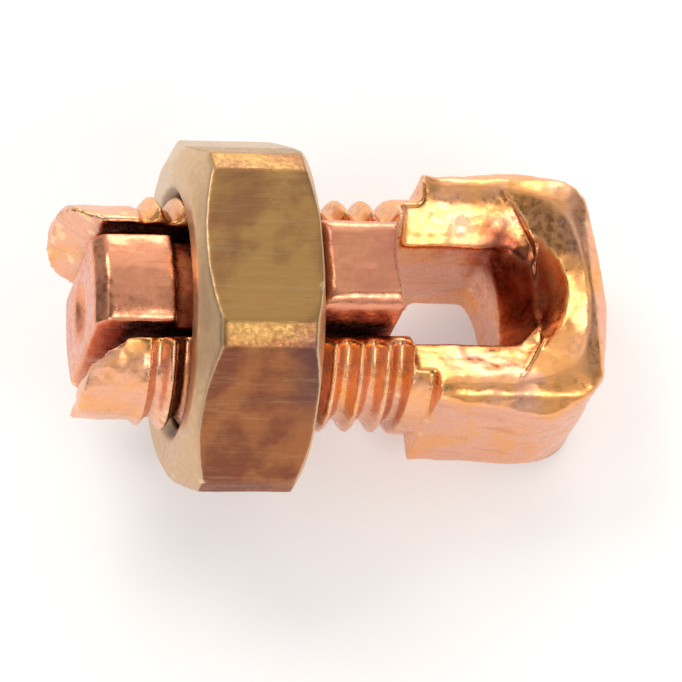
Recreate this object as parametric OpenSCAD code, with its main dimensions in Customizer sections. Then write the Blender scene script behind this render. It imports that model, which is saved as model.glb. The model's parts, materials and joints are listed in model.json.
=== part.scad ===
// Split bolt connector: a slotted copper bolt, a bronze hex nut and a sliding pressure bar.
// The conductors lie in the slot, between the bar's foot and the hollow at the slot's closed end.
// Each piece is drawn along the bolt: x from the leg tips to the head, y across the slot and
// z along the conductors. The whole is then laid down as it comes to rest on a flat surface,
// on the nut's lower flat and the lower edge of the head, with its origin under its middle.

/* [Thread] */
// Major diameter of the thread on the legs
thread_d = 11.1; // [10.6:0.05:11.7]
// Pitch of the right-hand thread
pitch = 1.27; // [1:0.01:1.5]
// Length of the plain pilot at the leg tips
pilot_l = 3.6; // [2.5:0.1:4.4]
// Length of the plain shank between the thread and the head
shank_l = 1.2; // [0.6:0.1:2]

/* [Bolt] */
// Length of the legs, from the tips to the head's shoulder
leg_l = 17.2; // [16.8:0.1:20]
// Length by which the lower leg falls short of the other
leg_short = 0.8; // [0:0.1:1.2]
// Width of the slot at its closed end
slot_w = 4.9; // [4.5:0.1:5.3]
// Width of the slot at the leg tips
slot_mouth_w = 5.9; // [5.4:0.1:6.4]
// Width broken off the long inner edges of the legs
leg_bevel = 1.2; // [0.2:0.1:1.5]
// Length of the lead-in bevel inside the leg tips
lead_l = 1.9; // [0.5:0.1:2.5]
// Width of the lead-in bevel inside the leg tips
lead_w = 1.1; // [0.5:0.1:1.3]
// Chamfer round the outside of the leg tips
tip_chamfer = 0.5; // [0.2:0.1:0.8]

/* [Head] */
// Length of the head along the bolt
head_l = 8.7; // [8.3:0.1:11]
// Width of the head across the slot, at its widest
head_w = 12.6; // [12:0.1:14]
// Width of the head at its shoulder
shoulder_w = 11.5; // [11.4:0.1:12]
// Thickness of the head along the conductors
head_t = 8.2; // [7.2:0.1:9.2]
// Solid wall left at the closed end of the slot
wall_t = 4.6; // [4:0.1:5.2]
// Radius of the hollow that seats the conductor
seat_r = 4.7; // [3.4:0.1:8]
// Corner radius of the head, seen along the conductors
head_r = 3.8; // [2:0.1:5]
// Radius of the slightly bulged end of the head
crown_r = 16; // [10:1:40]
// Chamfer round the head's faces
head_chamfer = 0.7; // [0.3:0.1:1.2]
// Depth of the flats that open the channel's upper mouth
flare_h = 1.5; // [0.6:0.1:2]
// Width of each of those flats
flare_w = 2.7; // [1.5:0.1:2.9]
// Length of those flats along the head
flare_l = 5.4; // [4:0.1:5.8]
// Lean of the shoulders where those flats end
flare_lean = 31; // [0:1:45]
// Radius of the round end of the mouth, in the head's upper face
mouth_r = 3.85; // [3.4:0.05:4.4]

/* [Nut] */
// Width of the nut across its flats
nut_af = 15.88; // [14.8:0.02:17.5]
// Thickness of the nut
nut_t = 5.9; // [4.5:0.05:7]
// Width of the land on each corner of the nut
corner_land = 1.3; // [0.4:0.1:2]
// Diameter of the nut's outer face inside its chamfer
nut_face_d = 14.5; // [13.8:0.1:15.2]
// Diameter of the nut's clamping face inside its chamfer
nut_seat_d = 15.8; // [14.4:0.1:16.2]
// Angle of the nut's chamfers from its faces
nut_chamfer_angle = 30; // [15:1:40]
// Bore of the nut inside its thread, which the pilot passes
bore_d = 10.35; // [10.1:0.05:10.5]
// Countersink of the bore in the nut's outer face
bore_chamfer = 0.3; // [0.1:0.05:0.8]
// Clearance between the nut's thread and the bolt's
thread_gap = 0.12; // [0.08:0.01:0.16]

/* [Pressure bar] */
// Clearance between the bar and each side of the slot
bar_gap = 0.2; // [0.1:0.05:0.4]
// Length of the foot that presses on the conductor
foot_l = 4.05; // [3:0.05:5]
// Width of the foot along the conductors
foot_w = 13; // [12:0.1:14]
// Rounding of the foot's long edges
foot_edge_r = 0.8; // [0.2:0.1:1.2]
// Rounding of the foot's shoulders on the nut's side
foot_r = 0.8; // [0.3:0.1:1.2]
// Depth of the hollow in the foot's clamping face
foot_hollow = 0.35; // [0.1:0.05:0.8]
// Diameter of the neck that turns in the nut
neck_d = 7.8; // [7:0.1:8.6]
// Diameter of the block on the neck's end
block_d = 9.4; // [9:0.1:9.6]
// Length of the block
block_l = 3.8; // [2.4:0.1:4.2]
// Play between the nut's outer face and the block
nut_play = 0.45; // [0.3:0.05:1.4]
// Running clearance between the nut's clamping face and the foot
foot_play = 0.1; // [0.05:0.05:0.4]
// Chamfer round the block's end
block_chamfer = 0.6; // [0.2:0.1:1]
// Diameter of the punched hollow in the block's end
punch_d = 3; // [1.5:0.1:3.6]

/* [Setting] */
// Gap between the foot and the closed end of the slot, as the nut is set
jaw_gap = 5.85; // [5:0.05:6.5]

/* [Hidden] */

copper = "#C27A4A";
red_copper = "#B5603F";
bronze = "#8F6A3C";

$fn = 96;
over = 1; // how far a cutter runs past what it cuts

// Sharp 60 degree thread: the height of its triangle is cut by an eighth and a quarter
thread_r = thread_d / 2;
sharp_h = pitch * cos(30);
thread_h = sharp_h * 5 / 8;
crest_w = pitch / 8;
flank_w = thread_h * tan(30);
turn_steps = 36;

half_slot = slot_w / 2;
half_mouth = slot_mouth_w / 2;
pilot_r = bore_d / 2 - thread_gap;
pilot_step = thread_r - pilot_r;
shank_r = thread_r + thread_gap / 2;
bolt_l = leg_l + head_l;
seat_x = bolt_l - wall_t;
foot_x = seat_x - jaw_gap;
nut_x = foot_x - foot_l - foot_play - nut_t;
block_x = nut_x - nut_play - block_l;
bar_w = slot_w - 2 * bar_gap;
nut_corner_d = nut_af / cos(30) - corner_land * tan(30);
nut_edge = max(0, nut_af - nut_seat_d) / 2 * tan(nut_chamfer_angle);

// The resting tilt brings the nut's lower flat and the head's lower edge to one level
rest_run = bolt_l - head_chamfer - (nut_x + nut_t - nut_edge);
rest_tilt = atan((nut_af - head_t) / 2 / rest_run);
tip_r = pilot_r - tip_chamfer;
tip_z = sqrt(tip_r * tip_r - pow(half_mouth + lead_w, 2));
reach_right = bolt_l * cos(rest_tilt) + (head_t / 2 - head_chamfer) * sin(rest_tilt);
reach_left = tip_z * sin(rest_tilt);
rest_x = (reach_right - reach_left) / 2;
rest_z = (nut_x + nut_t - nut_edge) * sin(rest_tilt) + nut_af / 2 * cos(rest_tilt);

module at_rest() {
    translate([-rest_x, 0, rest_z]) rotate([0, rest_tilt, 0]) children();
}

// A profile drawn in x and radius, turned about the bolt's axis
module turned() {
    rotate([0, 90, 0]) rotate([0, 0, 90]) rotate_extrude() rotate([0, 0, 90]) mirror([0, 1]) children();
}

// A bar of the drawn section (y to the right, z up), from x0 to x1
module along_x(x0, x1) {
    translate([x0, 0, 0]) rotate([90, 0, 90]) linear_extrude(x1 - x0) children();
}

// A plate of the drawn outline (x to the right, y up), centred on z = 0
module along_z(height) {
    linear_extrude(height, center = true) children();
}

// A plate of the drawn outline (x to the right, z up), centred on y = 0
module along_y(width) {
    rotate([90, 0, 0]) linear_extrude(width, center = true) children();
}

// Solid thread of crest radius r, from before x0 to past x1, in phase at every radius.
// Four corners of the tooth are carried round the helix and stitched turn to turn.
module thread(r, x0, x1) {
    first = floor(x0 / pitch) - 1;
    turns = ceil(x1 / pitch) + 1 - first;
    steps = turn_steps * turns;
    last = steps - turn_steps;
    root_r = r - thread_h;
    tooth = [[0, root_r], [flank_w, r], [flank_w + crest_w, r], [2 * flank_w + crest_w, root_r]];
    function corner(k, j) = let (a = 360 * k / turn_steps)
        [pitch * (first + k / turn_steps) + tooth[j][0], tooth[j][1] * cos(a), tooth[j][1] * sin(a)];
    near_end = 4 * (steps + 1);
    far_end = near_end + 1;
    points = concat(
        [for (k = [0 : steps]) for (j = [0 : 3]) corner(k, j)],
        [[pitch * first, 0, 0], [pitch * (first + turns) + tooth[3][0], 0, 0]]);
    flanks = [for (k = [0 : steps - 1]) for (j = [0 : 2]) let (a = 4 * k + j)
        each [[a, a + 1, a + 5], [a, a + 5, a + 4]]];
    roots = [for (k = [0 : last - 1]) let (a = 4 * k + 3, b = 4 * (k + turn_steps))
        each [[a, b, b + 4], [a, b + 4, a + 4]]];
    near_fan = [for (k = [0 : turn_steps - 1]) [near_end, 4 * k, 4 * k + 4]];
    far_fan = [for (k = [last : steps - 1]) [far_end, 4 * k + 7, 4 * k + 3]];
    near_step = [for (j = [0 : 3]) [near_end, j < 3 ? j + 1 : 4 * turn_steps, j]];
    far_step = [for (j = [0 : 3]) [far_end, j > 0 ? 4 * steps + j - 1 : 4 * last + 3, 4 * steps + j]];
    polyhedron(points, concat(flanks, roots, near_fan, far_fan, near_step, far_step), convexity = 10);
}

// Head seen along the conductors: widening from its shoulder, with round outer corners
// and a slightly bulged end
module head_plan() {
    corner_y = head_w / 2 - head_r;
    corner_x = bolt_l - head_r;
    intersection() {
        union() {
            polygon([[leg_l, -shoulder_w / 2], [corner_x, -head_w / 2], [corner_x, head_w / 2], [leg_l, shoulder_w / 2]]);
            translate([leg_l, -corner_y]) square([head_l, 2 * corner_y]);
            for (side = [-1, 1]) translate([corner_x, side * corner_y]) circle(head_r);
        }
        translate([bolt_l - crown_r, 0]) circle(crown_r);
    }
}

// Head seen across the slot: chamfered at its end
module head_side() {
    z = head_t / 2;
    polygon([[leg_l, -z], [bolt_l - head_chamfer, -z], [bolt_l, head_chamfer - z],
        [bolt_l, z - head_chamfer], [bolt_l - head_chamfer, z], [leg_l, z]]);
}

// Head seen along the bolt: chamfered along its four edges
module head_front() {
    y = head_w / 2;
    z = head_t / 2;
    c = head_chamfer;
    polygon([[c - y, -z], [y - c, -z], [y, c - z], [y, z - c], [y - c, z], [c - y, z], [-y, z - c], [-y, c - z]]);
}

module head() {
    intersection() {
        along_z(head_t + over) head_plan();
        along_y(head_w + over) head_side();
        along_x(leg_l, bolt_l + over) head_front();
    }
}

// Slot seen along the conductors: drafted, with a lead-in at the tips and a shallow round seat
module slot_plan() {
    seat_c = seat_x - seat_r;
    draft = (half_mouth - half_slot) / seat_c;
    lead = lead_w / lead_l;
    polygon([[-over, -half_mouth - over * draft], [seat_c, -half_slot], [seat_x + over, -half_slot],
        [seat_x + over, half_slot], [seat_c, half_slot], [-over, half_mouth + over * draft]]);
    for (leg = [0, 1]) mirror([0, leg]) translate([leg_short * leg, 0])
        polygon([[-2 * over, 0], [lead_l, 0], [lead_l, half_mouth - lead_l * draft],
            [-2 * over, half_mouth + lead_w + 2 * over * lead]]);
}

// Solid wall beyond the seat, kept out of the slot
module seat_plan() {
    difference() {
        translate([seat_x - seat_r, -head_w]) square([seat_r + wall_t, 2 * head_w]);
        translate([seat_x - seat_r, 0]) circle(seat_r);
    }
}

// Trough that widens upwards from z0 by run on each side and rise in height
module trough(half, z0, run, rise) {
    far = half + run / rise * thread_d;
    polygon([[-half, z0], [half, z0], [far, z0 + thread_d], [-far, z0 + thread_d]]);
}

// Seen along the conductors: what lies between x and the leaning shoulders of the mouth
module mouth_end(x, end_x) {
    lean = (head_w - half_slot) * tan(flare_lean);
    polygon([[x, -head_w], [end_x - lean, -head_w], [end_x, -half_slot], [end_x, half_slot],
        [end_x - lean, head_w], [x, head_w]]);
}

// Mouth of the channel on its upper side: two flats, and a cone round the closed end
module mouth() {
    top = head_t / 2;
    end_x = leg_l + flare_l;
    cone_x = seat_x - half_slot / 2;
    cone_r = seat_x - cone_x;
    slope = (mouth_r - cone_r) / top;
    intersection() {
        along_x(leg_l - over, bolt_l) trough(half_slot, top - flare_h, flare_w, flare_h);
        along_z(head_t + thread_d) mouth_end(leg_l - over, end_x);
    }
    intersection() {
        translate([cone_x, 0, 0]) cylinder(h = top + over, r1 = cone_r, r2 = mouth_r + over * slope);
        along_z(head_t + thread_d) mouth_end(bolt_l, end_x);
    }
}

module split_bolt() {
    z_edge = sqrt(thread_r * thread_r - half_mouth * half_mouth);
    color(copper) at_rest() difference() {
        union() {
            turned() polygon([[0, 0], [0, tip_r], [tip_chamfer, pilot_r], [pilot_l, pilot_r], [pilot_l, 0]]);
            turned() translate([leg_l - shank_l, 0]) square([shank_l + over, shank_r]);
            intersection() {
                thread(thread_r, pilot_l - pilot_step, leg_l);
                turned() polygon([[pilot_l - pilot_step, 0], [pilot_l - pilot_step, pilot_r - pilot_step],
                    [pilot_l + 2 * pilot_step, pilot_r + 2 * pilot_step], [leg_l, pilot_r + 2 * pilot_step], [leg_l, 0]]);
            }
            head();
        }
        along_z(thread_d + over) difference() {
            slot_plan();
            seat_plan();
        }
        translate([leg_short / 2, -thread_d / 2, 0]) cube([leg_short, thread_d, thread_d + over], center = true);
        for (side = [0, 180]) rotate([side, 0, 0])
            along_x(-over, leg_l) trough(half_slot, z_edge - leg_bevel, 1, 1);
        mouth();
    }
}

module hex_nut() {
    rim = nut_corner_d / 2 + over;
    face_r = nut_face_d / 2;
    seat_face_r = nut_seat_d / 2;
    face_h = (rim - face_r) * tan(nut_chamfer_angle);
    seat_h = (rim - seat_face_r) * tan(nut_chamfer_angle);
    sink_r = thread_r + thread_gap + bore_chamfer;
    color(bronze) at_rest() difference() {
        translate([nut_x, 0, 0]) intersection() {
            along_x(0, nut_t) circle(d = nut_af / cos(30), $fn = 6);
            along_x(0, nut_t) rotate(30) circle(d = nut_corner_d / cos(30), $fn = 6);
            turned() polygon([[0, 0], [0, face_r], [face_h, rim], [nut_t - seat_h, rim], [nut_t, seat_face_r], [nut_t, 0]]);
        }
        thread(thread_r + thread_gap, nut_x - over, nut_x + nut_t + over);
        turned() translate([nut_x - over, 0]) square([nut_t + 2 * over, bore_d / 2]);
        turned() polygon([[nut_x - over, 0], [nut_x - over, sink_r + over], [nut_x + sink_r, 0]]);
    }
}

// Foot seen across the slot: rounded shoulders on the nut's side
module foot_side() {
    z = foot_w / 2;
    x = foot_x - foot_l;
    for (side = [0, 1]) mirror([0, side]) {
        translate([x, 0]) square([foot_l, z - foot_r]);
        translate([x + foot_r, 0]) square([foot_l - foot_r, z]);
        translate([x + foot_r, z - foot_r]) circle(foot_r);
    }
}

// Foot seen along the bolt: a bar with rounded edges
module foot_front() {
    y = bar_w / 2 - foot_edge_r;
    z = foot_w / 2 - foot_edge_r;
    square([bar_w, 2 * z], center = true);
    square([2 * y, foot_w], center = true);
    for (sy = [-1, 1], sz = [-1, 1]) translate([sy * y, sz * z]) circle(foot_edge_r);
}

module foot() {
    hollow_r = (pow(bar_w / 2, 2) + pow(foot_hollow, 2)) / (2 * foot_hollow);
    difference() {
        intersection() {
            along_y(bar_w) foot_side();
            along_x(foot_x - foot_l, foot_x) foot_front();
        }
        translate([foot_x - foot_hollow + hollow_r, 0, 0]) cylinder(h = foot_w + over, r = hollow_r, center = true);
    }
}

module block() {
    r = block_d / 2;
    punch_r = (pow(punch_d / 2, 2) + pow(block_chamfer, 2)) / (2 * block_chamfer);
    difference() {
        intersection() {
            translate([block_x, -bar_w / 2, -r]) cube([block_l + over, bar_w, block_d]);
            turned() polygon([[block_x, 0], [block_x, r - block_chamfer], [block_x + block_chamfer, r],
                [block_x + block_l, r], [block_x + block_l, 0]]);
        }
        translate([block_x + block_chamfer - punch_r, 0, 0]) sphere(punch_r);
    }
}

module pressure_bar() {
    neck_x = block_x + block_l;
    color(red_copper) at_rest() {
        foot();
        block();
        intersection() {
            translate([neck_x - over, -bar_w / 2, -neck_d / 2]) cube([foot_x - foot_l - neck_x + 2 * over, bar_w, neck_d]);
            turned() translate([neck_x - over, 0]) square([foot_x - foot_l - neck_x + 2 * over, neck_d / 2]);
        }
    }
}

split_bolt();
pressure_bar();
hex_nut();
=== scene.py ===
import json
import math

import bmesh
import bpy
from mathutils import Matrix, Vector, noise


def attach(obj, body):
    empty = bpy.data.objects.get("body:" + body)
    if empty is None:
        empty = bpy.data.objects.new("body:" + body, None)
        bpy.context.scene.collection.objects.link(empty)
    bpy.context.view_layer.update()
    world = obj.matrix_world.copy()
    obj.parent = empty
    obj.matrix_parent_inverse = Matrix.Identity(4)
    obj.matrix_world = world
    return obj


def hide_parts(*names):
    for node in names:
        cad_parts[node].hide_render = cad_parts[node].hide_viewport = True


MM = 0.001
SEED = Vector((3.7, 1.9, 8.3))

# The bolt in its own axes, in millimetres: x from the leg tips, y across the slot, z along the conductors
NUT_MID = 8.35  # middle of the nut
HEAD_START = 17.2
HEAD_END = 25.9
HEAD_HALF = 6.3  # half its width
HEAD_TOP = 4.1  # half its thickness
SLOT_HALF = 2.45  # half the width of the slot at its closed end
SHOULDER_X = 22.6  # where the mouth's flats end at the slot
SHOULDER_LEAN = math.radians(31.0)
CONE_X = 20.075  # axis of the round hollow
CONE_R = 1.225  # its radius at the bolt's axis
MOUTH_R = 3.85  # its radius in the head's upper face
CONE_LOW = -0.4  # how deep the cone is carried
CONE_PAST = 1.0  # how far it runs out of the head
CONE_STEPS = 96
CONE_RINGS = 24
WELD = 0.0005  # vertices closer than this are one

# Wear and hammering, in millimetres
RIM_INNER_DROP = 0.6
RIM_OUTER_DROP = 0.55
UNDERSIDE = 0.6  # share of that drop on the head's lower face
SHRINK = 0.03  # keeps the bumps inside the CAD solid
BURR = 0.09

# Light: levels of the tent, where 1 is white
TENT_DARK = 0.1
TENT_BRIGHT = 0.72
WINDOW = Vector((0.44, 0.40, 0.80))  # where the upward faces mirror the tent
WINDOW_BRIGHT = 0.52
PAPER_HALF = 0.6  # half the side of the paper, in metres
PAPER_GLOW = 0.32  # what the camera and the metal see of the paper beyond its lit colour

# Colours, as linear red, green and blue
# The bolt's two copper colours: the first is painted on upward faces and the second on side faces as
# painted sheen, mixed with random patchy variation
GOLDEN_AND_TOP_SHEEN = (0.94, 0.43, 0.15)
PINK_AND_SIDE_SHEEN = (0.87, 0.45, 0.30)
# The bolt's stained streak colour, also the base of the painted shade in its recesses
BOLT_STAIN_AND_CREVICE_SHADE = (0.46, 0.15, 0.06)
# Painted shade for the round hollow behind the slot
HOLLOW_PAINTED_SHADE = (0.20, 0.035, 0.02)
# The bar's two copper colours carry the same painted sheen: the first on upward faces, the second on side
# faces
RED_COPPER_AND_TOP_SHEEN = (0.86, 0.36, 0.20)
DULL_COPPER_AND_SIDE_SHEEN = (0.76, 0.29, 0.18)
# The bar's stained streak colour, also the base of the painted shade in its recesses
BAR_STAIN_AND_CREVICE_SHADE = (0.42, 0.11, 0.06)
RUBBED_COPPER = (1.0, 0.70, 0.36)
OLIVE, DARK_OLIVE = (0.52, 0.29, 0.10), (0.36, 0.17, 0.075)
# Red-brown and dark brown are painted on the nut's near flat as painted shade
RED_BROWN, DARK_BROWN = (0.42, 0.16, 0.065), (0.27, 0.09, 0.05)
# Painted shade on the nut's near flat
PURPLE_PAINTED_SHADE = (0.11, 0.06, 0.07)
MACHINED_STREAK = (0.60, 0.40, 0.22)
TURNED_FACE = (0.80, 0.55, 0.33)
# Painted light on the nut's far flat
PALE_FLAT_PAINTED_LIGHT = (0.78, 0.64, 0.48)
# Painted shade in the nut's recesses
NUT_HOLLOW_SHADE = (0.10, 0.045, 0.02)
RUBBED_BRONZE = (0.86, 0.66, 0.42)
PAPER = (0.93, 0.92, 0.91)

# Sockets of the Mix node when it mixes colours
MIX_A, MIX_B, MIX_RESULT = 6, 7, 2

# ---------------------------------------------------------------- the CAD frame
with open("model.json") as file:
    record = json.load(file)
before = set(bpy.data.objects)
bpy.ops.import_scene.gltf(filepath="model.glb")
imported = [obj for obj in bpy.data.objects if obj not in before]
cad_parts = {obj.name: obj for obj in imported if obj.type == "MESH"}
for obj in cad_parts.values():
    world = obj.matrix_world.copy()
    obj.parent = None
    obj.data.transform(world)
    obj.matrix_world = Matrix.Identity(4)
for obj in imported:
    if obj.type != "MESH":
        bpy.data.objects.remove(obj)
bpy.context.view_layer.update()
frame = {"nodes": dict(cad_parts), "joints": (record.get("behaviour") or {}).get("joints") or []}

joints = {joint["name"]: joint for joint in frame["joints"]}
AXIS = Vector(joints["nut_turn"]["axis"]).normalized()
NUT_CENTRE = Vector(joints["nut_turn"]["pos_m"])
TILT = math.atan2(-AXIS.z, AXIS.x)
TIPS = NUT_CENTRE - AXIS * (NUT_MID * MM)
TO_PART = Matrix.Rotation(-TILT, 4, "Y") @ Matrix.Translation(-TIPS)
TO_ROW = TO_PART.inverted()


# ---------------------------------------------------------------- small helpers
def smoothstep(low, high, value):
    """0 below low, 1 above high, and smooth between them."""
    t = min(max((value - low) / (high - low), 0.0), 1.0)
    return t * t * (3.0 - 2.0 * t)


def wave(point, size):
    """Smooth noise from -1 to 1 whose features are about size millimetres across."""
    return noise.noise(point / size + SEED)


# ---------------------------------------------------------------- pieces
def cone_cutter():
    """The hollow behind the slot: a cone from the seat up to the rim, within the slot's width."""
    rings = []
    form = bmesh.new()
    for level in range(CONE_RINGS + 1):
        height = CONE_LOW + (HEAD_TOP + CONE_PAST - CONE_LOW) * level / CONE_RINGS
        radius = CONE_R + (MOUTH_R - CONE_R) * height / HEAD_TOP
        ring = []
        for step in range(CONE_STEPS + 1):
            angle = math.pi * (step / CONE_STEPS - 0.5)
            x = CONE_X + radius * math.cos(angle)
            y = min(max(radius * math.sin(angle), -SLOT_HALF), SLOT_HALF)
            ring.append(form.verts.new(Vector((x, y, height)) * MM))
        rings.append(ring)
    form.faces.new(list(reversed(rings[0])))
    form.faces.new(rings[-1])
    for low, high in zip(rings, rings[1:]):
        for step in range(CONE_STEPS + 1):
            after = (step + 1) % (CONE_STEPS + 1)
            form.faces.new((low[step], low[after], high[after], high[step]))
    mesh = bpy.data.meshes.new("cone_cutter")
    form.to_mesh(mesh)
    form.free()
    cutter = bpy.data.objects.new("cone_cutter", mesh)
    bpy.context.scene.collection.objects.link(cutter)
    return cutter


def worked_copy(node, name, voxel, passes, dents, cutter=None):
    """A copy of a CAD node with its edges worn round and its faces slightly uneven."""
    mesh = frame["nodes"][node].data.copy()
    mesh.transform(TO_PART)
    if cutter is not None:
        form = bmesh.new()
        form.from_mesh(mesh)
        bmesh.ops.remove_doubles(form, verts=form.verts, dist=WELD * MM)
        form.to_mesh(mesh)
        form.free()
    piece = bpy.data.objects.new(name, mesh)
    bpy.context.scene.collection.objects.link(piece)
    if cutter is not None:
        cut = piece.modifiers.new("cut", "BOOLEAN")
        cut.operation = "DIFFERENCE"
        cut.solver = "EXACT"
        cut.object = cutter
    remesh = piece.modifiers.new("skin", "REMESH")
    remesh.mode = "VOXEL"
    remesh.voxel_size = voxel * MM
    remesh.adaptivity = 0.0
    bpy.context.view_layer.update()
    evaluated = piece.evaluated_get(bpy.context.evaluated_depsgraph_get())
    skin = bpy.data.meshes.new_from_object(evaluated)
    piece.modifiers.clear()
    piece.data = skin
    form = bmesh.new()
    form.from_mesh(skin)
    for _ in range(passes):
        bmesh.ops.smooth_vert(
            form, verts=form.verts, factor=0.5, use_axis_x=True, use_axis_y=True, use_axis_z=True
        )
    form.normal_update()
    moves = [dents(vert.co / MM, vert.normal) * MM for vert in form.verts]
    for vert, move in zip(form.verts, moves):
        vert.co += move
    form.to_mesh(skin)
    form.free()
    skin.transform(TO_ROW)
    skin.shade_smooth()
    return piece


def rim_drop(at):
    """How far the head's upper face falls towards its outer edge and towards the round hollow."""
    shoulder_x = SHOULDER_X - max(abs(at.y) - SLOT_HALF, 0.0) * math.tan(SHOULDER_LEAN)
    beyond = smoothstep(shoulder_x - 0.15, shoulder_x + 0.15, at.x)
    from_hollow = math.hypot(at.x - CONE_X, at.y) - MOUTH_R
    from_edge = min(HEAD_HALF - abs(at.y), HEAD_END - at.x)
    inner = RIM_INNER_DROP * beyond * (1.0 - smoothstep(-0.2, 1.9, from_hollow))
    outer = RIM_OUTER_DROP * (1.0 - smoothstep(-0.2, 2.1, from_edge))
    return max(inner, outer) * smoothstep(HEAD_START - 0.4, HEAD_START + 1.0, at.x)


def bolt_dents(at, normal):
    """Forged head with a round rim, and legs that are burred and hammered near their tips."""
    head = smoothstep(HEAD_START - 0.7, HEAD_START + 1.3, at.x)
    tips = 1.0 - smoothstep(2.0, 4.5, at.x)
    rough = 0.10 * wave(at, 2.2) + 0.05 * wave(at, 1.0)
    fine = 0.008 * wave(at, 0.5)
    burr = BURR * abs(wave(at, 0.8)) * tips * smoothstep(1.2, 2.6, abs(at.z))
    move = normal * (rough * (0.9 * head + 1.2 * tips) + fine - SHRINK - burr)
    side = 1.0 if at.z > 0.0 else -UNDERSIDE
    move.z -= side * rim_drop(at) * smoothstep(1.6, HEAD_TOP, abs(at.z))
    return move


def bar_dents(at, normal):
    """A drawn bar, almost even."""
    return normal * (0.02 * wave(at, 1.6) + 0.008 * wave(at, 0.5) - 0.02)


def nut_dents(at, normal):
    """A milled nut, almost even."""
    return normal * (0.025 * wave(at, 2.5) + 0.008 * wave(at, 0.6) - 0.015)


cutter = cone_cutter()
bolt = worked_copy("split_bolt", "bolt_forging", 0.14, 4, bolt_dents, cutter)
bpy.data.objects.remove(cutter)
bar = worked_copy("pressure_bar", "pressure_bar_worked", 0.12, 4, bar_dents)
nut = worked_copy("hex_nut", "nut_worked", 0.13, 3, nut_dents)

for piece, node, body, slot in (
    (bolt, "split_bolt", "bolt", "bolt_copper"),
    (bar, "pressure_bar", "bar", "bar_copper"),
    (nut, "hex_nut", "nut", "nut_bronze"),
):
    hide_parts(node)
    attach(piece, body)


# ---------------------------------------------------------------- materials
class Shader:
    """A material's node tree, with the short calls the materials below use."""

    def __init__(self, name):
        self.material = bpy.data.materials.new(name)
        self.material.use_nodes = True
        self.tree = self.material.node_tree
        self.tree.nodes.clear()
        self.output = self.node("ShaderNodeOutputMaterial")
        self.surface = self.node("ShaderNodeBsdfPrincipled")
        self.link(self.surface.outputs["BSDF"], self.output.inputs["Surface"])

    def node(self, kind, **values):
        made = self.tree.nodes.new(kind)
        for key, value in values.items():
            setattr(made, key, value)
        return made

    def link(self, source, target):
        self.tree.links.new(source, target)

    def put(self, socket, value):
        if isinstance(value, bpy.types.NodeSocket):
            self.link(value, socket)
        else:
            socket.default_value = value

    def part_mm(self):
        """The point in the part's own axes, in millimetres."""
        place = self.node("ShaderNodeTexCoord")
        turn = self.node("ShaderNodeMapping")
        start = Matrix.Rotation(-TILT, 3, "Y") @ (-TIPS / MM)
        turn.inputs["Location"].default_value = start
        turn.inputs["Rotation"].default_value = (0.0, -TILT, 0.0)
        turn.inputs["Scale"].default_value = (1 / MM, 1 / MM, 1 / MM)
        self.link(place.outputs["Object"], turn.inputs["Vector"])
        return turn.outputs["Vector"]

    def scaled(self, vector, factors):
        made = self.node("ShaderNodeVectorMath", operation="MULTIPLY")
        self.link(vector, made.inputs[0])
        made.inputs[1].default_value = factors
        return made.outputs["Vector"]

    def dot(self, vector, along):
        made = self.node("ShaderNodeVectorMath", operation="DOT_PRODUCT")
        self.link(vector, made.inputs[0])
        made.inputs[1].default_value = along
        return made.outputs["Value"]

    def axes(self, vector):
        made = self.node("ShaderNodeSeparateXYZ")
        self.link(vector, made.inputs["Vector"])
        return made.outputs["X"], made.outputs["Y"], made.outputs["Z"]

    def noise(self, vector, scale, detail=3.0, roughness=0.55, distortion=0.0):
        made = self.node("ShaderNodeTexNoise")
        self.link(vector, made.inputs["Vector"])
        made.inputs["Scale"].default_value = scale
        made.inputs["Detail"].default_value = detail
        made.inputs["Roughness"].default_value = roughness
        made.inputs["Distortion"].default_value = distortion
        return made.outputs["Fac"]

    def math(self, operation, a, b=0.0, clamp=False):
        made = self.node("ShaderNodeMath", operation=operation, use_clamp=clamp)
        self.put(made.inputs[0], a)
        self.put(made.inputs[1], b)
        return made.outputs["Value"]

    def ramp(self, value, low, high, to_low=0.0, to_high=1.0):
        """value from low..high to to_low..to_high, smooth and clamped."""
        made = self.node("ShaderNodeMapRange", interpolation_type="SMOOTHSTEP")
        self.put(made.inputs["Value"], value)
        made.inputs["From Min"].default_value = low
        made.inputs["From Max"].default_value = high
        made.inputs["To Min"].default_value = to_low
        made.inputs["To Max"].default_value = to_high
        return made.outputs["Result"]

    def mix(self, factor, a, b):
        made = self.node("ShaderNodeMix", data_type="RGBA")
        self.put(made.inputs["Factor"], factor)
        self.put(made.inputs[MIX_A], a)
        self.put(made.inputs[MIX_B], b)
        return made.outputs[MIX_RESULT]

    def edges(self):
        """Above half on worn edges, below half in hollows."""
        return self.node("ShaderNodeNewGeometry").outputs["Pointiness"]

    def hollow(self, reach):
        """1 in the open, towards 0 where walls stand close round the point."""
        made = self.node("ShaderNodeAmbientOcclusion", samples=8)
        made.inputs["Distance"].default_value = reach * MM
        return made.outputs["AO"]

    def bump(self, height, strength, depth, normal=None):
        made = self.node("ShaderNodeBump")
        made.inputs["Strength"].default_value = strength
        made.inputs["Distance"].default_value = depth * MM
        self.put(made.inputs["Height"], height)
        if normal is not None:
            self.link(normal, made.inputs["Normal"])
        return made.outputs["Normal"]


def rgb(red, green, blue):
    return (red, green, blue, 1.0)


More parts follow.
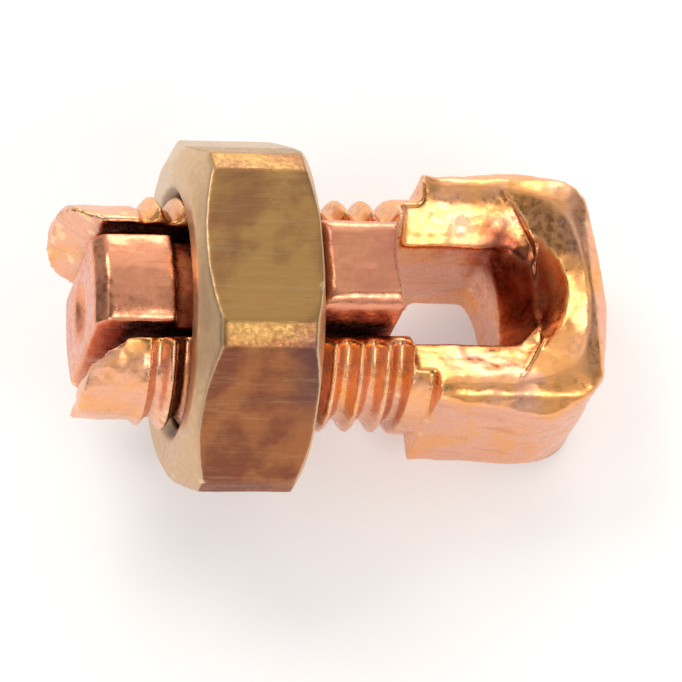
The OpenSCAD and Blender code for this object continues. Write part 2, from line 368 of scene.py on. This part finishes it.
def copper_material(name, top_sheen_and_patch, side_sheen_and_patch, stain_and_crevice_shade, streak, hollow_shade=None):
    """Forged or drawn copper in two colours, split at random and by painted sheen (gold on upward faces,
    rosy on side faces); stained streaks; painted shade in the hollows; rubbed edges and fine grain.
    """
    s = Shader(name)
    at = s.part_mm()
    facing = s.axes(s.node("ShaderNodeTexCoord").outputs["Normal"])[2]
    cloud = s.noise(at, 0.32, 4.0, 0.6, 0.6)
    # Painted sheen: faces turned up lean to the gold colour and side faces to the rosy one, standing in
    # for the bright tent above and the white paper in front; the rest of the split is random
    patches_and_facing_sheen = s.ramp(s.math("SUBTRACT", cloud, s.math("MULTIPLY", facing, 0.16)), 0.3, 0.56)
    along = s.noise(s.scaled(at, streak), 1.0, 5.0, 0.65)
    colour = s.mix(patches_and_facing_sheen, rgb(*top_sheen_and_patch), rgb(*side_sheen_and_patch))
    colour = s.mix(s.ramp(along, 0.5, 0.72, 0.0, 0.28), colour, rgb(*stain_and_crevice_shade))
    # Painted shade: an occlusion mask darkens the stained colour further where walls stand close, as
    # shade in recesses
    depth = s.hollow(2.0)
    crevice_shade_colour = rgb(stain_and_crevice_shade[0] * 0.62, stain_and_crevice_shade[1] * 0.5, stain_and_crevice_shade[2] * 0.5)
    colour = s.mix(s.ramp(depth, 0.15, 0.75, 0.8, 0.0), colour, crevice_shade_colour)
    if hollow_shade is not None:
        # Painted shade: the round hollow behind the slot is painted dark maroon, most of all in its deep,
        # upper part
        x, y, z = s.axes(at)
        across = s.math("MULTIPLY", y, y)
        reach = s.math("POWER", s.math("SUBTRACT", x, CONE_X), 2.0)
        radius = s.math("SQRT", s.math("ADD", across, reach))
        inside = s.ramp(radius, MOUTH_R - 0.7, MOUTH_R + 0.1, 1.0, 0.0)
        deep = s.ramp(s.math("ADD", x, s.math("MULTIPLY", y, 0.5)), 20.6, 22.4)
        high = s.ramp(z, -0.8, 1.2)
        hollow_shade_mask = s.math("MULTIPLY", s.math("MULTIPLY", inside, deep), high)
        colour = s.mix(s.math("MULTIPLY", hollow_shade_mask, 0.9), colour, rgb(*hollow_shade))
    rubbed = s.ramp(s.edges(), 0.51, 0.62)
    colour = s.mix(s.math("MULTIPLY", rubbed, 0.6), colour, rgb(*RUBBED_COPPER))
    s.put(s.surface.inputs["Base Color"], colour)
    s.surface.inputs["Metallic"].default_value = 1.0
    grain = s.noise(at, 3.2, 4.0, 0.6)
    rough = s.math("ADD", s.ramp(grain, 0.3, 0.7, 0.2, 0.36), s.ramp(along, 0.5, 0.75, 0.0, 0.12))
    s.put(s.surface.inputs["Roughness"], rough)
    beaten = s.bump(s.noise(at, 0.6, 2.0, 0.5), 0.6, 0.2)
    s.put(s.surface.inputs["Normal"], s.bump(grain, 0.2, 0.02, beaten))
    return s.material


def bronze_material(name):
    """Turned and milled bronze in patchy olive and brown, with streaks along the bolt; painted shade
    makes the near flat brown and dark and darkens the hollows, and painted light makes the far flat pale.
    """
    s = Shader(name)
    at = s.part_mm()
    x, y, z = s.axes(at)
    cloud = s.noise(at, 0.3, 4.0, 0.6, 0.25)
    streaks = s.noise(s.scaled(at, (0.25, 3.0, 3.0)), 1.0, 5.0, 0.7)
    olive = s.mix(s.ramp(cloud, 0.4, 0.62), rgb(*OLIVE), rgb(*DARK_OLIVE))
    brown = s.mix(s.ramp(cloud, 0.42, 0.6), rgb(*RED_BROWN), rgb(*DARK_BROWN))
    wander = s.math("MULTIPLY", s.math("SUBTRACT", cloud, 0.5), 1.5)
    # Painted shade: the near flat, turned away from the key lamp, is painted the darker red-brown;
    # elsewhere the random olive stays
    near = s.ramp(s.math("ADD", s.math("MULTIPLY", y, -1.0), wander), 4.3, 5.2)
    colour = s.mix(near, olive, brown)
    # Painted shade: dark purple on the near flat, towards the nut's end by the head and its upper corner
    upper = s.ramp(s.math("ADD", x, s.math("MULTIPLY", cloud, 2.0)), 10.0, 12.0)
    shade = s.math("MULTIPLY", s.math("MULTIPLY", near, upper), s.ramp(z, 3.2, 5.4, 0.0, 0.7))
    colour = s.mix(shade, colour, rgb(*PURPLE_PAINTED_SHADE))
    colour = s.mix(s.ramp(streaks, 0.5, 0.7, 0.0, 0.25), colour, rgb(*MACHINED_STREAK))
    turned = s.math("ABSOLUTE", s.dot(s.node("ShaderNodeTexCoord").outputs["Normal"], AXIS))
    ragged = s.math("MULTIPLY", s.math("SUBTRACT", cloud, 0.5), 0.3)
    bright = s.ramp(s.math("ADD", turned, ragged), 0.3, 0.5, 0.0, 0.75)
    colour = s.mix(bright, colour, rgb(*TURNED_FACE))
    # Painted light: the far flat, turned up towards the key lamp, is painted pale
    past_corner = s.math("SUBTRACT", y, s.math("MULTIPLY", s.math("ABSOLUTE", z), 0.5))
    far = s.ramp(past_corner, 3.6, 5.2, 0.0, 0.6)
    colour = s.mix(far, colour, rgb(*PALE_FLAT_PAINTED_LIGHT))
    # Painted shade: near black where walls stand close round the point, as shade in recesses
    colour = s.mix(s.ramp(s.hollow(1.5), 0.2, 0.8, 0.7, 0.0), colour, rgb(*NUT_HOLLOW_SHADE))
    rubbed = s.ramp(s.edges(), 0.51, 0.6)
    colour = s.mix(s.math("MULTIPLY", rubbed, 0.7), colour, rgb(*RUBBED_BRONZE))
    s.put(s.surface.inputs["Base Color"], colour)
    s.surface.inputs["Metallic"].default_value = 1.0
    grain = s.noise(at, 4.0, 4.0, 0.65)
    s.put(s.surface.inputs["Roughness"], s.ramp(grain, 0.3, 0.7, 0.3, 0.5))
    lines = s.bump(streaks, 0.4, 0.06)
    s.put(s.surface.inputs["Normal"], s.bump(grain, 0.25, 0.02, lines))
    return s.material


def dress(piece, material):
    """The piece wears this material and no other."""
    piece.data.materials.clear()
    piece.data.materials.append(material)


bolt_copper = copper_material(
    "forged_copper", GOLDEN_AND_TOP_SHEEN, PINK_AND_SIDE_SHEEN, BOLT_STAIN_AND_CREVICE_SHADE, (0.35, 1.6, 1.6), HOLLOW_PAINTED_SHADE
)
bar_copper = copper_material("drawn_copper", RED_COPPER_AND_TOP_SHEEN, DULL_COPPER_AND_SIDE_SHEEN, BAR_STAIN_AND_CREVICE_SHADE, (0.2, 4.5, 4.5))
dress(bolt, bolt_copper)
dress(bar, bar_copper)
dress(nut, bronze_material("browned_bronze_painted_light"))


# ---------------------------------------------------------------- floor, light and camera
def floor_material():
    """White paper: the camera and the metal see it a little brighter than the lamps leave it."""
    s = Shader("white_paper")
    s.surface.inputs["Base Color"].default_value = rgb(*PAPER)
    s.surface.inputs["Roughness"].default_value = 0.9
    path = s.node("ShaderNodeLightPath")
    seen = s.math("MAXIMUM", path.outputs["Is Camera Ray"], path.outputs["Is Glossy Ray"])
    s.put(s.surface.inputs["Emission Strength"], s.math("MULTIPLY", seen, PAPER_GLOW))
    s.surface.inputs["Emission Color"].default_value = rgb(1.0, 1.0, 1.0)
    return s.material


def add_floor():
    """A sheet of white paper under the object."""
    form = bmesh.new()
    bmesh.ops.create_grid(form, x_segments=1, y_segments=1, size=PAPER_HALF)
    mesh = bpy.data.meshes.new("floor")
    form.to_mesh(mesh)
    form.free()
    floor = bpy.data.objects.new("floor", mesh)
    bpy.context.scene.collection.objects.link(floor)
    floor.data.materials.append(floor_material())


def add_world():
    """White behind the object; round it a tent that is bright overhead and uneven lower down."""
    world = bpy.data.worlds.new("studio")
    bpy.context.scene.world = world
    world.use_nodes = True
    tree = world.node_tree
    tree.nodes.clear()
    path = tree.nodes.new("ShaderNodeLightPath")
    place = tree.nodes.new("ShaderNodeTexCoord")
    folds = tree.nodes.new("ShaderNodeTexNoise")
    folds.inputs["Scale"].default_value = 1.6
    folds.inputs["Detail"].default_value = 2.0
    uneven = tree.nodes.new("ShaderNodeMapRange")
    uneven.interpolation_type = "SMOOTHSTEP"
    uneven.inputs["From Min"].default_value = 0.38
    uneven.inputs["From Max"].default_value = 0.62
    uneven.inputs["To Min"].default_value = TENT_DARK
    uneven.inputs["To Max"].default_value = TENT_BRIGHT
    level = tree.nodes.new("ShaderNodeMix")
    level.data_type = "FLOAT"
    level.inputs["B"].default_value = 1.0
    back = tree.nodes.new("ShaderNodeBackground")
    back.inputs["Color"].default_value = (1.0, 1.0, 1.0, 1.0)
    out = tree.nodes.new("ShaderNodeOutputWorld")
    facing = tree.nodes.new("ShaderNodeVectorMath")
    facing.operation = "DOT_PRODUCT"
    facing.inputs[1].default_value = WINDOW.normalized()
    window = tree.nodes.new("ShaderNodeMapRange")
    window.interpolation_type = "SMOOTHSTEP"
    window.inputs["From Min"].default_value = 0.75
    window.inputs["From Max"].default_value = 0.99
    window.inputs["To Max"].default_value = WINDOW_BRIGHT
    both = tree.nodes.new("ShaderNodeMath")
    both.operation = "ADD"
    tree.links.new(place.outputs["Generated"], folds.inputs["Vector"])
    tree.links.new(place.outputs["Generated"], facing.inputs[0])
    tree.links.new(facing.outputs["Value"], window.inputs["Value"])
    tree.links.new(folds.outputs["Fac"], uneven.inputs["Value"])
    tree.links.new(uneven.outputs["Result"], both.inputs[0])
    tree.links.new(window.outputs["Result"], both.inputs[1])
    tree.links.new(path.outputs["Is Camera Ray"], level.inputs["Factor"])
    tree.links.new(both.outputs["Value"], level.inputs["A"])
    tree.links.new(level.outputs["Result"], back.inputs["Strength"])
    tree.links.new(back.outputs["Background"], out.inputs["Surface"])


def add_lamp(name, place, size, power, colour):
    """A square soft lamp at place, in millimetres in the row frame, facing the object."""
    light = bpy.data.lights.new(name, "AREA")
    light.shape = "SQUARE"
    light.size = size * MM
    light.energy = power
    light.color = colour
    lamp = bpy.data.objects.new(name, light)
    bpy.context.scene.collection.objects.link(lamp)
    at = Vector(place) * MM
    lamp.location = at
    lamp.rotation_euler = (NUT_CENTRE - at).to_track_quat("-Z", "Y").to_euler()


def add_camera():
    """The photograph's view: from the near side, 66 degrees up, turned a little to the leg tips."""
    swing, rise, roll = math.radians(12.3), math.radians(66.0), math.radians(0.8)
    distance, lens = 260.0, 290.2
    shift_right, shift_down = 0.68, 1.18
    target = Vector((13.0, 0.0, 0.0))
    back = Vector((-math.sin(swing), -math.cos(swing) * math.cos(rise), math.cos(swing) * math.sin(rise)))
    up = back.cross(Vector((1.0, 0.0, 0.0))).normalized()
    right = up.cross(back)
    right, up = (
        right * math.cos(roll) + up * math.sin(roll),
        up * math.cos(roll) - right * math.sin(roll),
    )
    place = target + back * distance + right * shift_right - up * shift_down
    turn = Matrix((right, up, back)).transposed()
    data = bpy.data.cameras.new("camera")
    data.lens = lens
    data.clip_start = 0.01
    data.clip_end = 10.0
    camera = bpy.data.objects.new("camera", data)
    bpy.context.scene.collection.objects.link(camera)
    stand = Matrix.Translation(TO_ROW @ (place * MM))
    camera.matrix_world = stand @ TO_ROW.to_3x3().to_4x4() @ turn.to_4x4()
    bpy.context.scene.camera = camera


add_floor()
add_world()
add_lamp("key", (-50.0, 80.0, 150.0), 80.0, 0.085, (1.0, 0.97, 0.93))
add_lamp("right", (75.0, -90.0, 125.0), 55.0, 0.045, (1.0, 0.96, 0.90))
add_lamp("back", (40.0, 160.0, 40.0), 60.0, 0.045, (1.0, 0.96, 0.90))
add_lamp("front", (-40.0, -140.0, 70.0), 50.0, 0.035, (1.0, 0.97, 0.94))
add_camera()
bpy.context.scene.view_settings.view_transform = "Standard"
